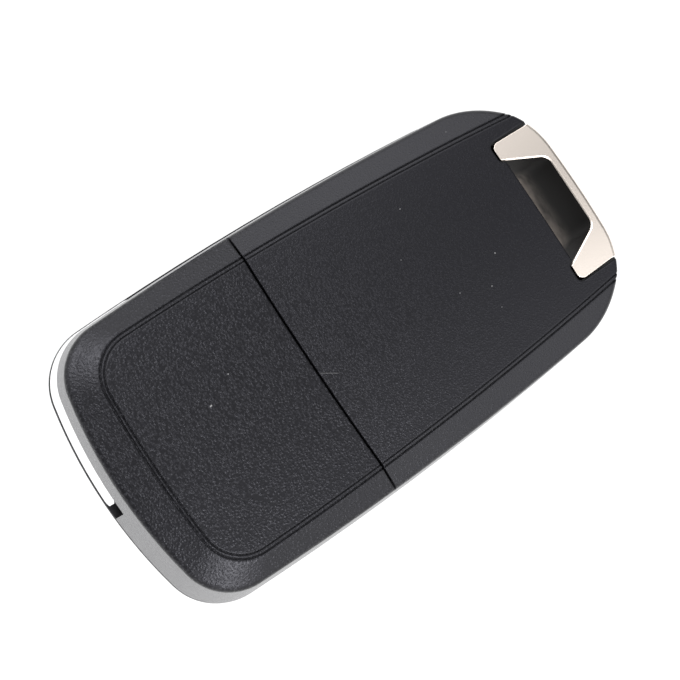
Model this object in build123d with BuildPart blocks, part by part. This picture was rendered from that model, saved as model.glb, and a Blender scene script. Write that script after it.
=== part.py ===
from build123d import *
import math
import os

os.makedirs("parts", exist_ok=True)

# The key lies on its button face: back face up, ring end towards +X, blade side towards +Y.
# The origin is on the floor below the middle of the outline. All sizes are in millimetres.

# Outline at the rim of the front case, which is the widest level
length = 72.4
width = 40.3
thickness = 16.5
end_draft = 4.0
side_draft = 6.2
side_r = 420.0
side_widest_from_end = 21.45
pivot_end_r = 65.0
pivot_corner_r = 8.0
ring_end_r = 150.0
ring_corner_r = 11.9

# Levels of the three layers
rim_z = 2.0
split_z = 12.6
shoulder_z = 13.35
crease_z = 15.6

# Back face: a domed panel with a sloping shoulder round it
dome_r_along = 1000.0
dome_r_across = 200.0
dome_offset = 5.25
panel_from_end = 5.03
panel_from_side = 4.15
panel_side_r = 488.0
panel_widest_from_end = 13.45
panel_end_r = 124.0
panel_corner_r = 6.0
shoulder_blend = 1.2
ring_end_round = 0.5
rim_round = 1.1
shoulder_run_on = 1.5
groove_width = 0.26
groove_depth = 0.25
second_groove = 0.54
second_groove_width = 0.2
second_groove_depth = 0.2

# Walls and clearances
wall = 1.25
cover_wall = 1.5
ceiling_z = 14.1
ceiling_run = 1.6
part_gap = 0.3
slip = 0.15
touch = 0.05

# Seam between the battery cover and the rear case
seam_from_end = 28.8
seam_bow = 0.45
seam_flare = 0.55

# Key ring bracket and the trapezoid hole that it encloses
ear_from_end = 7.95
ear_half_width = 10.3
ear_taper = 0.4
hole_edge_from_end = 7.55
hole_half_at_ears = 7.8
hole_half_at_bar = 5.25
bar_width = 2.33
ear_corner_r = 0.9
hole_corner_r = 1.5
bracket_floor = 0.3
bracket_edge = 0.18
bracket_sink = 0.05
lug_reach = 5.2
lug_width = 2.2
lug_eye_r = 1.7
lug_z = 9.3
lug_height = 2.9
post_r = 0.8

# Hub and blade
hub_from_end = 11.15
hub_from_side = 11.75
lean = 2.3
head_z = 2.3
head_height = 5.1
hub_r = 9.2
blade_outer = 10.6
blade_width = 9.0
blade_thickness = 2.6
blade_root = 6.2
blade_groove_width = 2.2
blade_groove_depth = 0.35
blade_tip_chamfer = 3.2
arm_reach = 12.5
pin_r = 0.8
pin_from_hub = 9.2
trim_thickness = 0.85
trim_inset = 0.06
trim_side_reach = 5.0
trim_corner_r = 1.1
notch_width = 1.75
well_r = 14.8
bay_rib = 1.0
slot_clearance = 0.4
deck_z = 7.6
deck_thickness = 1.2
slot_runout = 4.6

# Hub bearing and its cap
boss_r = 3.6
bearing_clearance = 0.06
cap_r = 4.9
cap_thickness = 0.65
cap_gap = 0.12
cap_clearance = 0.25
hub_screw_r = 0.9
hub_screw_head_r = 1.8
hub_screw_head = 0.75
hub_screw_length = 2.6
cross_width = 0.4

# Release button and its spring
release_r = 3.9
release_travel = 2.2
release_sink = 0.15
release_stem_r = 1.6
release_dish_r = 20.0
release_dish = 0.25
flange_thickness = 0.6
flange_overlap = 0.45
cavity_r = 4.75
cavity_z = 6.55
spring_wire = 0.5
spring_r = 4.05
spring_pitch = 1.4

# Keys, their bezel and the mat behind them
key_gap = 1.4
key_corner_r = 2.0
key_sink = 0.2
key_travel = 0.6
key_dish_r = 30.0
key_dish = 0.3
key_flange = 0.5
key_flange_thickness = 0.6
key_edge = 0.35
key_names = ("lock_button", "unlock_button", "boot_button", "alert_button")
bezel_margin = 1.6
bezel_corner_r = 3.0
bezel_thickness = 0.8
bezel_sink = 0.1
bezel_edge = 0.2
mat_thickness = 0.8
mat_dome_r = 2.2
mat_dome = 0.7
mat_post_r = 0.6
mat_margin = 1.9
mat_side_margin = 1.2
mat_from_side = 4.35
mat_from_ring = 13.6
mat_from_well = 3.85
mat_clearance = 0.7

# Board bay, coin cell well and the rear case screws
bay_margin = 3.2
cell_r = 10.25
cell_floor = 0.6
cell_from_end = 17.05
cell_from_side = 13.45
boss_wall = 1.0
screw_r = 0.7
screw_head_r = 1.2
screw_head = 0.6
screw_length = 3.6
screw_from_seam = 1.9
screw_from_blade_side = 5.95
screw_from_far_side = 4.55
tab_z = 11.4
tab_thickness = 1.1
rib_from_seam = 0.4
rib_width = 1.2

# Snap arms of the cover, and the lip of the front case
arm_thickness = 1.0
arm_depth = 2.0
arm_length = 6.0
side_arm_from_end = 7.7
lip_height = 0.8
lip_thickness = 0.8
lip_length = 30.0

# Grip scallop over the blade
scallop_from_end = 23.4
scallop_length = 17.0
scallop_depth = 0.28

pivot_x = -length / 2
ring_x = length / 2
end_slope = math.tan(math.radians(end_draft))
side_slope = math.tan(math.radians(side_draft))
seam_x = pivot_x + seam_from_end
hub_x = pivot_x + hub_from_end
hub_y = width / 2 - hub_from_side
mouth_x = ring_x - hole_edge_from_end
ear_x = ring_x - ear_from_end
deck_top = deck_z + deck_thickness
head_top = head_z + head_height
cell_x = pivot_x + cell_from_end
cell_y = cell_from_side - width / 2
well_floor = deck_top + cell_floor
head_x = hub_x + trim_side_reach
trim_end = hub_y - hub_r
notch = trim_end - notch_width
blade_z = head_z + (head_height - blade_thickness) / 2
blade_inner = blade_outer - blade_width
mouth_wall_x = ear_x - part_gap - wall
lean_angle = math.radians(lean)
blade_end = (mouth_wall_x - slot_clearance - hub_x) / math.cos(lean_angle)
blade_end -= blade_outer * math.tan(lean_angle)
flange_z = rim_z + touch
mat_z = flange_z + key_flange_thickness + key_travel + touch
mat_start = hub_x + well_r + bay_rib + mat_from_well
mat_end = ring_x - mat_from_ring
rib_run = math.tan(lean_angle) * (mat_end - hub_x)
rib_y = hub_y + (blade_inner - slot_clearance - bay_rib) / math.cos(lean_angle) - rib_run
mat_low = mat_from_side - width / 2
mat_high = rib_y - mat_clearance
keys_x = (mat_start + mat_end) / 2
keys_y = (mat_low + mat_high) / 2
key_length = (mat_end - mat_start - key_gap) / 2 - mat_margin
key_width = (mat_high - mat_low - key_gap) / 2 - mat_side_margin
key_pitch_x = key_length + key_gap
key_pitch_y = key_width + key_gap
cap_z = deck_top + cap_gap
lug_y = (ear_half_width + hole_half_at_ears) / 2
eye_x = ear_x - lug_reach + lug_eye_r
screw_x = seam_x - screw_from_seam
blade_side_screw_y = width / 2 - screw_from_blade_side
far_side_screw_y = screw_from_far_side - width / 2
screw_places = ((screw_x, blade_side_screw_y), (screw_x, far_side_screw_y))
bay_start = screw_x + screw_r + boss_wall + bay_margin
bay_end = eye_x - post_r - bay_margin
well_wall_r = cell_r + boss_wall
past_end = 5.0


def end_inset(height):
    """How far the drafted end walls have come in at this height."""
    return (height - rim_z) * end_slope


def side_inset(height):
    """How far the drafted side walls have come in at this height."""
    return (height - rim_z) * side_slope


def outline(height, inset=0.0):
    """The housing's outline at a height, brought in by an even inset."""
    widest_x = pivot_x + side_widest_from_end
    end = end_inset(height) + inset
    side = side_inset(height) + inset
    with BuildSketch(mode=Mode.PRIVATE) as face:
        with Locations((widest_x, width / 2 - side_r)):
            Circle(side_r - side)
        with Locations((widest_x, side_r - width / 2)):
            Circle(side_r - side, mode=Mode.INTERSECT)
        with Locations((pivot_x + pivot_end_r, 0)):
            Circle(pivot_end_r - end, mode=Mode.INTERSECT)
        with Locations(Location((ring_x - ring_end_r, 0), 180)):
            Circle(ring_end_r - end, mode=Mode.INTERSECT)
        corners = face.vertices().sort_by(Axis.X)
        fillet(corners[:2], pivot_corner_r - end)
        corners = [v for v in face.vertices() if v.X > 0 and abs(v.Y) > hole_half_at_ears]
        fillet(corners, ring_corner_r - end)
    return face.sketch


def shoulder_outline(level, inset=0.0):
    """Section of the sloping shoulder: level 0 is its foot, level 1 the panel's crease."""
    def between(foot, crease):
        return foot + (crease - foot) * level

    foot_end = end_inset(shoulder_z)
    foot_side = side_inset(shoulder_z)
    half = between(width / 2 - foot_side, width / 2 - panel_from_side)
    radius = between(side_r - foot_side, panel_side_r)
    widest_x = pivot_x + between(side_widest_from_end, panel_widest_from_end)
    end_x = pivot_x + between(foot_end, panel_from_end)
    end_r = between(pivot_end_r - foot_end, panel_end_r)
    corner_r = between(pivot_corner_r - foot_end, panel_corner_r)
    with BuildSketch(mode=Mode.PRIVATE) as face:
        with Locations((ring_x + past_end, 0)):
            Rectangle(2 * length, 2 * width, align=(Align.MAX, Align.CENTER))
        with Locations((widest_x, half - radius)):
            Circle(radius - inset, mode=Mode.INTERSECT)
        with Locations((widest_x, radius - half)):
            Circle(radius - inset, mode=Mode.INTERSECT)
        with Locations((end_x + end_r, 0)):
            Circle(end_r - inset, mode=Mode.INTERSECT)
        fillet(face.vertices().sort_by(Axis.X)[:2], corner_r - inset)
    return face.sketch


def level_height(level):
    """Height of a shoulder section."""
    return shoulder_z + (crease_z - shoulder_z) * level


def drafted(bottom, top, inset=0.0):
    """A solid between two levels inside the housing's drafted wall, brought in by an inset."""
    with BuildPart(mode=Mode.PRIVATE) as body:
        for height in (bottom, top):
            with BuildSketch(Plane.XY.offset(height)):
                add(outline(height, inset))
        loft(ruled=True)
    return body.part


def on_outer_wall(edge):
    """Whether an edge of the back lies along the housing's drafted wall, at its top."""
    middle = edge.position_at(0.5)
    wall_line = outline(middle.Z).faces()[0].outer_wire()
    at_wall = wall_line.distance_to(Vector(middle.X, middle.Y, 0)) < touch
    return at_wall and middle.Z > shoulder_z - touch


def at_panel_end(edge):
    """Whether an edge of the back is where the domed panel runs out over the ring end."""
    middle = edge.position_at(0.5)
    return middle.X > ear_x and middle.Z > crease_z


def ring_side_of_seam(gap):
    """Everything on the ring side of the seam, with the seam's edge moved by the gap."""
    bow_x = seam_x + seam_bow + gap
    flare_x = bow_x + seam_flare
    panel_half = width / 2 - panel_from_side
    with BuildSketch(mode=Mode.PRIVATE) as side:
        with BuildLine():
            ThreePointArc((bow_x, -panel_half), (seam_x + gap, 0), (bow_x, panel_half))
            Polyline(
                (bow_x, panel_half),
                (flare_x, width / 2),
                (ring_x + past_end, width / 2),
                (ring_x + past_end, -width / 2),
                (flare_x, -width / 2),
                (bow_x, -panel_half),
            )
        make_face()
    return side.sketch


def hole_plan(grow=0.0):
    """The trapezoid hole, run on to the ears' ends and grown by an even margin."""
    hole_x = ring_x - bar_width
    rise = (hole_half_at_ears - hole_half_at_bar) / (hole_x - mouth_x)
    open_x = ear_x - part_gap
    open_half = hole_half_at_ears + rise * (mouth_x - open_x)
    with BuildSketch(mode=Mode.PRIVATE) as hole:
        with BuildLine():
            Polyline(
                (open_x, open_half + grow),
                (open_x, -open_half - grow),
                (hole_x + grow, -hole_half_at_bar - grow),
                (hole_x + grow, hole_half_at_bar + grow),
                close=True,
            )
        make_face()
        fillet(hole.vertices().sort_by(Axis.X)[-2:], hole_corner_r)
    return hole.sketch


def bracket_plan():
    """The bracket's plan: a U open towards the case, run on past the ring end."""
    with BuildSketch(mode=Mode.PRIVATE) as plan:
        with BuildLine():
            Polyline(
                (ring_x + past_end, ear_half_width - ear_taper),
                (ear_x, ear_half_width),
                (ear_x, -ear_half_width),
                (ring_x + past_end, ear_taper - ear_half_width),
                close=True,
            )
        make_face()
        fillet(plan.vertices().sort_by(Axis.X)[:2], ear_corner_r)
        add(hole_plan(), mode=Mode.SUBTRACT)
    return plan.sketch


def mouth_plan(grow=0.0):
    """What the case leaves free at the ring end for the bracket and the hole."""
    half = ear_half_width + part_gap + grow
    ear_inner = hole_half_at_ears - part_gap - grow
    ear_left = ear_x - part_gap - grow
    with BuildSketch(mode=Mode.PRIVATE) as plan:
        with Locations((mouth_x - grow, 0)):
            Rectangle(length, 2 * half, align=(Align.MIN, Align.CENTER))
        for side in (-1, 1):
            with Locations((ear_left, side * (half + ear_inner) / 2)):
                RectangleRounded(length, half - ear_inner, ear_corner_r, align=(Align.MIN, Align.CENTER))
    return plan.sketch


def fold_plane(height):
    """A plane at the hub, turned to lie along the folded blade."""
    return Plane((hub_x, hub_y, height), x_dir=(math.cos(lean_angle), -math.sin(lean_angle), 0))


def key_places():
    """The centres of the four keys."""
    return [
        (keys_x + sx * key_pitch_x / 2, keys_y + sy * key_pitch_y / 2)
        for sx in (-1, 1)
        for sy in (-1, 1)
    ]


# The back of the housing as one form: drafted walls, sloping shoulder and domed panel
with BuildPart() as shoulder:
    for level in (0, shoulder_run_on):
        with BuildSketch(Plane.XY.offset(level_height(level))):
            add(shoulder_outline(level))
    loft(ruled=True)

with BuildPart() as back_form:
    add(drafted(shoulder_z, thickness + past_end))
    add(shoulder.part, mode=Mode.INTERSECT)
    with Locations((dome_offset, 0, thickness - dome_r_along)):
        Torus(
            dome_r_along - dome_r_across, dome_r_across, rotation=(90, 0, 0), mode=Mode.INTERSECT
        )
    add(drafted(split_z, shoulder_z))
    wall_edges = [e for e in back_form.edges() if on_outer_wall(e)]
    fillet([e for e in wall_edges if not at_panel_end(e)], shoulder_blend)
    wall_edges = [e for e in back_form.edges() if on_outer_wall(e)]
    fillet([e for e in wall_edges if at_panel_end(e)], ring_end_round)


def groove_cutter(start, groove, depth):
    """A cutter that follows the panel's edge at an even depth below the back."""
    with BuildPart(mode=Mode.PRIVATE) as cutter:
        with BuildSketch(Plane.XY.offset(split_z)):
            add(shoulder_outline(1, start))
            add(shoulder_outline(1, start + groove), mode=Mode.SUBTRACT)
        extrude(amount=thickness)
        add(back_form.part.moved(Location((0, 0, -depth))), mode=Mode.SUBTRACT)
        with BuildSketch(Plane.XY.offset(split_z)):
            add(outline(rim_z))
        extrude(amount=crease_z - shoulder_z, mode=Mode.SUBTRACT)
    return cutter.part


# What is cut from the back as a whole: the grooves, the space inside and the grip scallop
with BuildPart() as hollow:
    for height, run in ((split_z - past_end, 0), (split_z, 0), (ceiling_z, ceiling_run)):
        with BuildSketch(Plane.XY.offset(height)):
            add(outline(split_z, cover_wall + run))
    loft(ruled=True)
    with BuildSketch(Plane.XY.offset(split_z - past_end)):
        add(mouth_plan(cover_wall))
    extrude(amount=length, mode=Mode.SUBTRACT)

scallop_r = (scallop_length**2 / 4 + scallop_depth**2) / (2 * scallop_depth)
scallop_y = width / 2 - side_inset(split_z) - scallop_depth + scallop_r
with BuildPart() as scallop:
    with BuildSketch(Plane.XY.offset(deck_z)):
        with Locations((pivot_x + scallop_from_end, scallop_y)):
            Circle(scallop_r)
    extrude(amount=thickness)

with BuildPart() as back_shell:
    add(back_form.part)
    add(groove_cutter(0, groove_width, groove_depth), mode=Mode.SUBTRACT)
    add(groove_cutter(second_groove, second_groove_width, second_groove_depth), mode=Mode.SUBTRACT)
    add(hollow.part, mode=Mode.SUBTRACT)
    add(scallop.part, mode=Mode.SUBTRACT)

def room(bottom, top):
    """The space inside the side walls between two levels."""
    with BuildPart(mode=Mode.PRIVATE) as space:
        add(drafted(bottom, top, wall))
        with BuildSketch(Plane.XY.offset(bottom)):
            add(mouth_plan(wall))
        extrude(amount=top - bottom, mode=Mode.SUBTRACT)
    return space.part


def bay_plan(grow=0.0):
    """Plan of the blade bay: a round well for the head and a leaning slot for the blade."""
    inner = blade_inner - slot_clearance - grow
    with BuildSketch(mode=Mode.PRIVATE) as plan:
        with Locations((hub_x, hub_y)):
            Circle(well_r + grow)
        with Locations((hub_x + inner * math.sin(lean_angle), hub_y + inner * math.cos(lean_angle))):
            Rectangle(length, width, rotation=-lean, align=(Align.MIN, Align.MIN))
    return plan.sketch


def band(height, outer, inner):
    """A flat ring between two insets of the housing's outline at a height."""
    with BuildSketch(mode=Mode.PRIVATE) as ring:
        add(outline(height, outer))
        add(outline(height, inner), mode=Mode.SUBTRACT)
    return ring.sketch


# Front of the housing as one form: a plate with a rounded lower edge
with BuildPart() as front_form:
    with BuildSketch():
        add(outline(rim_z))
    extrude(amount=rim_z)
    fillet(front_form.faces().sort_by(Axis.Z)[0].edges(), rim_round)

# Front case: the plate with its key windows, the mat's posts and a lip inside the frame
bezel_length = key_pitch_x + key_length + 2 * bezel_margin
bezel_width = key_pitch_y + key_width + 2 * bezel_margin
post_x = (key_pitch_x + key_length) / 2 + key_flange + slip + mat_post_r
with BuildPart() as front_case:
    add(front_form.part)
    with BuildSketch():
        add(mouth_plan())
        with Locations((hub_x, hub_y)):
            Circle(release_r + slip)
        with Locations(key_places()):
            RectangleRounded(key_length + 2 * slip, key_width + 2 * slip, key_corner_r + slip)
    extrude(amount=rim_z, mode=Mode.SUBTRACT)
    with BuildSketch():
        with Locations((keys_x, keys_y)):
            RectangleRounded(bezel_length + 2 * slip, bezel_width + 2 * slip, bezel_corner_r + slip)
    extrude(amount=bezel_sink + bezel_thickness, mode=Mode.SUBTRACT)
    with BuildSketch(Plane.XY.offset(rim_z)):
        with Locations((keys_x, keys_y)):
            with GridLocations(2 * post_x, key_pitch_y, 2, 2):
                Circle(mat_post_r)
    extrude(amount=mat_z - rim_z)
    with BuildSketch(Plane.XY.offset(rim_z)):
        add(band(rim_z, wall + slip, wall + slip + lip_thickness))
        with Locations((keys_x, -width / 2)):
            Rectangle(lip_length, width / 2, mode=Mode.INTERSECT)
    extrude(amount=lip_height)
front_case.part.label = "front_case"
export_step(front_case.part, "parts/front_case.step")

# Middle frame: side walls, a deck over the blade bay, the coin cell's well and the screw bosses
with BuildPart() as board_room:
    add(room(rim_z - past_end, deck_z))
    with BuildSketch(Plane.XY.offset(rim_z - past_end)):
        add(bay_plan(bay_rib))
    extrude(amount=thickness, mode=Mode.SUBTRACT)

with BuildPart() as deck_window:
    add(room(deck_z - touch, deck_top + touch))
    with BuildSketch(Plane.XY.offset(deck_z - touch)):
        with Locations((bay_start, mat_high)):
            Rectangle(bay_end - bay_start, width, align=(Align.MIN, Align.MAX))
    extrude(amount=deck_thickness + 2 * touch, mode=Mode.INTERSECT)

with BuildPart() as middle_frame:
    add(drafted(rim_z, split_z))
    add(room(deck_top, split_z + past_end), mode=Mode.SUBTRACT)
    add(board_room.part, mode=Mode.SUBTRACT)
    add(deck_window.part, mode=Mode.SUBTRACT)
    with BuildSketch(Plane.XY.offset(rim_z)):
        add(mouth_plan())
    extrude(amount=thickness, mode=Mode.SUBTRACT)
    with BuildSketch(Plane.XY.offset(rim_z)):
        add(bay_plan())
        with Locations((mouth_wall_x, 0)):
            Rectangle(3 * length, 3 * width, align=(Align.MAX, Align.CENTER), mode=Mode.INTERSECT)
        with Locations((hub_x, notch)):
            Rectangle(length, width, align=(Align.MAX, Align.MIN))
        with Locations((mouth_wall_x, ear_half_width + part_gap + wall + slot_clearance)):
            Rectangle(slot_runout, width, align=(Align.MIN, Align.MIN))
    extrude(amount=deck_z - rim_z, mode=Mode.SUBTRACT)
    with BuildSketch(Plane.XY.offset(deck_top)):
        with Locations((cell_x, cell_y)):
            Circle(well_wall_r)
    extrude(amount=split_z - deck_top)
    with BuildSketch(Plane.XY.offset(well_floor)):
        with Locations((cell_x, cell_y)):
            Circle(cell_r)
    extrude(amount=split_z - well_floor, mode=Mode.SUBTRACT)
    with BuildSketch(Plane.XY.offset(deck_top)):
        with Locations((hub_x, hub_y)):
            Circle(cap_r + cap_clearance)
    extrude(amount=split_z - deck_top, mode=Mode.SUBTRACT)
    with BuildSketch(Plane.XY.offset(deck_z)):
        with Locations((hub_x, hub_y)):
            Circle(boss_r + bearing_clearance)
    extrude(amount=deck_thickness, mode=Mode.SUBTRACT)
    with BuildSketch(Plane.XY.offset(deck_top)):
        with Locations(*screw_places):
            Circle(screw_r + boss_wall)
    extrude(amount=tab_z - deck_top)
    with BuildSketch(Plane.XY.offset(deck_top)):
        with Locations(*screw_places):
            Circle(screw_r + touch)
    extrude(amount=tab_z - deck_top, mode=Mode.SUBTRACT)
    with BuildSketch(Plane.XY.offset(lug_z - slip)):
        with Locations((ear_x, lug_y), (ear_x, -lug_y)):
            Rectangle(lug_reach, lug_width + 2 * slip, align=(Align.MAX, Align.CENTER))
    extrude(amount=thickness, mode=Mode.SUBTRACT)
    with BuildSketch(Plane.XY.offset(deck_top)):
        with Locations((eye_x, lug_y), (eye_x, -lug_y)):
            Circle(post_r)
    extrude(amount=lug_z + lug_height - deck_top)
middle_frame.part.label = "middle_frame"
export_step(middle_frame.part, "parts/middle_frame.step")

# Rear case: the ring side of the back, with a rib and two screw tabs that reach under the cover
with BuildPart() as rear_case:
    add(back_shell.part)
    with BuildSketch(Plane.XY.offset(split_z)):
        add(ring_side_of_seam(part_gap / 2))
    extrude(amount=thickness, mode=Mode.INTERSECT)
    with BuildSketch(Plane.XY.offset(tab_z)):
        add(outline(split_z, wall + slip))
        add(ring_side_of_seam(rib_from_seam), mode=Mode.INTERSECT)
        add(ring_side_of_seam(rib_from_seam + rib_width), mode=Mode.SUBTRACT)
    extrude(amount=ceiling_z + touch - tab_z)
    for screw_place in screw_places:
        with BuildSketch(Plane.XY.offset(tab_z)):
            with Locations(screw_place):
                Circle(screw_r + boss_wall)
                Rectangle(
                    rib_from_seam + rib_width + screw_from_seam,
                    2 * (screw_r + boss_wall),
                    align=(Align.MIN, Align.CENTER),
                )
                Circle(screw_r + touch, mode=Mode.SUBTRACT)
        extrude(amount=tab_thickness)
    with BuildSketch(Plane.XY.offset(tab_z)):
        add(mouth_plan())
    extrude(amount=thickness, mode=Mode.SUBTRACT)
rear_case.part.label = "rear_case"
export_step(rear_case.part, "parts/rear_case.step")

# Battery cover: the pivot side of the back, with two side arms and an end tongue
with BuildPart() as battery_cover:
    add(back_shell.part)
    with BuildSketch(Plane.XY.offset(split_z)):
        add(ring_side_of_seam(-part_gap / 2))
    extrude(amount=thickness, mode=Mode.SUBTRACT)
    arm_z = split_z - arm_depth
    arm_inset = wall + slip
    with BuildSketch(Plane.XY.offset(arm_z)):
        add(band(split_z, arm_inset, arm_inset + arm_thickness))
        with BuildSketch(mode=Mode.PRIVATE) as reach:
            with Locations((pivot_x + side_arm_from_end, 0)):
                Rectangle(arm_length, width)
            with Locations((pivot_x, 0)):
                Rectangle(2 * arm_length, arm_length)
        add(reach.sketch, mode=Mode.INTERSECT)
    extrude(amount=ceiling_z + touch - arm_z)
battery_cover.part.label = "battery_cover"
export_step(battery_cover.part, "parts/battery_cover.step")

# Key ring bracket: a metal loop as deep as the housing, with an eye on each ear
with BuildPart() as housing:
    add(front_form.part)
    add(drafted(rim_z, split_z))
    add(back_form.part)

with BuildPart() as keyring_bracket:
    add(housing.part.moved(Location((0, 0, -bracket_sink))))
    with BuildSketch(Plane.XY.offset(bracket_floor)):
        add(bracket_plan())
    extrude(amount=thickness, mode=Mode.INTERSECT)
    floor_edges = keyring_bracket.faces().sort_by(Axis.Z)[0].edges()
    inner_x = ring_x - bar_width + touch
    chamfer([e for e in floor_edges if e.position_at(0.5).X < inner_x], bracket_edge)
    for side in (-1, 1):
        with BuildSketch(Plane.XY.offset(lug_z)):
            with Locations((ear_x + touch, side * lug_y)):
                Rectangle(lug_reach - lug_eye_r, lug_width, align=(Align.MAX, Align.CENTER))
            with Locations((eye_x, side * lug_y)):
                Circle(lug_eye_r)
                Circle(post_r + slip, mode=Mode.SUBTRACT)
        extrude(amount=lug_height)
    bar_top = thickness - (ring_x - bar_width - dome_offset) ** 2 / (2 * dome_r_along) - bracket_sink
    with BuildSketch(Plane.XY.offset(bar_top - bracket_edge)):
        add(hole_plan())
    with BuildSketch(Plane.XY.offset(bar_top + bracket_edge)):
        add(hole_plan(2 * bracket_edge))
    loft(ruled=True, mode=Mode.SUBTRACT)
keyring_bracket.part.label = "keyring_bracket"
export_step(keyring_bracket.part, "parts/keyring_bracket.step")

# Blade head: a hub with a spring cavity, a corner behind the trim and a forked arm for the blade
pin_v = (blade_inner + blade_outer) / 2
with BuildPart() as head_arm:
    add(drafted(head_z, head_top, trim_inset))
    with BuildSketch(fold_plane(head_z)):
        with Locations((0, blade_inner)):
            Rectangle(arm_reach, blade_width, align=(Align.MIN, Align.MIN))
    extrude(amount=head_height, mode=Mode.INTERSECT)

with BuildPart() as trim_room:
    add(drafted(head_z - touch, head_top + touch, -wall))
    add(drafted(head_z - touch, head_top + touch, trim_inset + trim_thickness + touch), mode=Mode.SUBTRACT)
    with BuildSketch(Plane.XY.offset(head_z - touch)):
        with Locations((head_x + touch, trim_end - touch)):
            Rectangle(length, width, align=(Align.MAX, Align.MIN))
    extrude(amount=head_height + 2 * touch, mode=Mode.INTERSECT)

with BuildPart() as blade_head:
    add(drafted(head_z, head_top, trim_inset))
    with BuildSketch(Plane.XY.offset(head_z)):
        with Locations((head_x, trim_end)):
            Rectangle(length, width, align=(Align.MAX, Align.MIN))
    extrude(amount=head_height, mode=Mode.INTERSECT)
    add(head_arm.part)
    with BuildSketch(Plane.XY.offset(head_z)):
        with Locations((hub_x, hub_y)):
            Circle(hub_r)
    extrude(amount=head_height)
    add(trim_room.part, mode=Mode.SUBTRACT)
    with BuildSketch(Plane.XY.offset(head_top)):
        with Locations((hub_x, hub_y)):
            Circle(boss_r)
    extrude(amount=cap_z - head_top)
    with BuildSketch(Plane.XY.offset(head_z)):
        with Locations((hub_x, hub_y)):
            Circle(cavity_r)
    extrude(amount=cavity_z - head_z, mode=Mode.SUBTRACT)
    with BuildSketch(Plane.XY.offset(cap_z)):
        with Locations((hub_x, hub_y)):
            Circle(hub_screw_r + touch)
    extrude(amount=cap_thickness - hub_screw_length - touch, mode=Mode.SUBTRACT)
    with BuildSketch(fold_plane(blade_z - touch)):
        with Locations((blade_root - touch, blade_inner - touch)):
            Rectangle(arm_reach, width, align=(Align.MIN, Align.MIN))
    extrude(amount=blade_thickness + 2 * touch, mode=Mode.SUBTRACT)
    with BuildSketch(fold_plane(head_z)):
        with Locations((pin_from_hub, pin_v)):
            Circle(pin_r + touch)
    extrude(amount=head_height, mode=Mode.SUBTRACT)
blade_head.part.label = "blade_head"
export_step(blade_head.part, "parts/blade_head.step")

# Trim: a bright crescent that closes the blade bay at the pivot corner
with BuildPart() as head_trim:
    add(drafted(head_z, head_top, trim_inset))
    add(drafted(head_z, head_top, trim_inset + trim_thickness), mode=Mode.SUBTRACT)
    with BuildSketch(Plane.XY.offset(head_z)):
        with Locations((head_x, trim_end)):
            Rectangle(length, width, align=(Align.MAX, Align.MIN))
    extrude(amount=head_height, mode=Mode.INTERSECT)
    fillet([e for e in head_trim.edges() if e.length < 2 * trim_thickness], trim_corner_r)
head_trim.part.label = "head_trim"
export_step(head_trim.part, "parts/head_trim.step")

# Blade: an uncut blank with a groove along each face, held in the head by a roll pin
groove_start = arm_reach + pin_r
with BuildPart() as key_blade:
    with BuildSketch(fold_plane(blade_z)) as blade_side:
        with Locations((blade_root, blade_inner)):
            Rectangle(blade_end - blade_root, blade_width, align=(Align.MIN, Align.MIN))
        chamfer(blade_side.vertices().sort_by(Axis.X)[-2:], blade_tip_chamfer)
        with Locations((pin_from_hub, pin_v)):
            Circle(pin_r + touch, mode=Mode.SUBTRACT)
    extrude(amount=blade_thickness)
    for face_z, cut in ((blade_z, blade_groove_depth), (blade_z + blade_thickness, -blade_groove_depth)):
        with BuildSketch(fold_plane(face_z)):
            with Locations((groove_start, pin_v)):
                Rectangle(blade_end, blade_groove_width, align=(Align.MIN, Align.CENTER))
        extrude(amount=cut, mode=Mode.SUBTRACT)
key_blade.part.label = "key_blade"
export_step(key_blade.part, "parts/key_blade.step")

with BuildPart() as blade_pin:
    with BuildSketch(fold_plane(head_z + touch)):
        with Locations((pin_from_hub, pin_v)):
            Circle(pin_r)
    extrude(amount=head_height - 2 * touch)
    chamfer(blade_pin.edges().filter_by(GeomType.CIRCLE), pin_r / 4)
blade_pin.part.label = "blade_pin"
export_step(blade_pin.part, "parts/blade_pin.step")

# Hub cap and its screw: they keep the head in the deck's bore
with BuildPart() as hub_cap:
    with BuildSketch(Plane.XY.offset(cap_z)):
        with Locations((hub_x, hub_y)):
            Circle(cap_r)
            Circle(hub_screw_r + touch, mode=Mode.SUBTRACT)
    extrude(amount=cap_thickness)
    chamfer(hub_cap.faces().sort_by(Axis.Z)[-1].outer_wire().edges(), cap_thickness / 4)
hub_cap.part.label = "hub_cap"
export_step(hub_cap.part, "parts/hub_cap.step")

with BuildPart() as hub_screw:
    with BuildSketch(Plane.XY.offset(cap_z + cap_thickness)):
        with Locations((hub_x, hub_y)):
            Circle(hub_screw_head_r)
    extrude(amount=hub_screw_head)
    fillet(hub_screw.faces().sort_by(Axis.Z)[-1].edges(), hub_screw_head / 3)
    with BuildSketch(Plane.XY.offset(cap_z + cap_thickness)):
        with Locations((hub_x, hub_y)):
            Circle(hub_screw_r)
    extrude(amount=-hub_screw_length)
    with BuildSketch(Plane.XY.offset(cap_z + cap_thickness + hub_screw_head)):
        with Locations((hub_x, hub_y)):
            Rectangle(hub_screw_head_r, cross_width)
            Rectangle(cross_width, hub_screw_head_r)
    extrude(amount=-hub_screw_head / 2, mode=Mode.SUBTRACT)
hub_screw.part.label = "hub_screw"
export_step(hub_screw.part, "parts/hub_screw.step")

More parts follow.
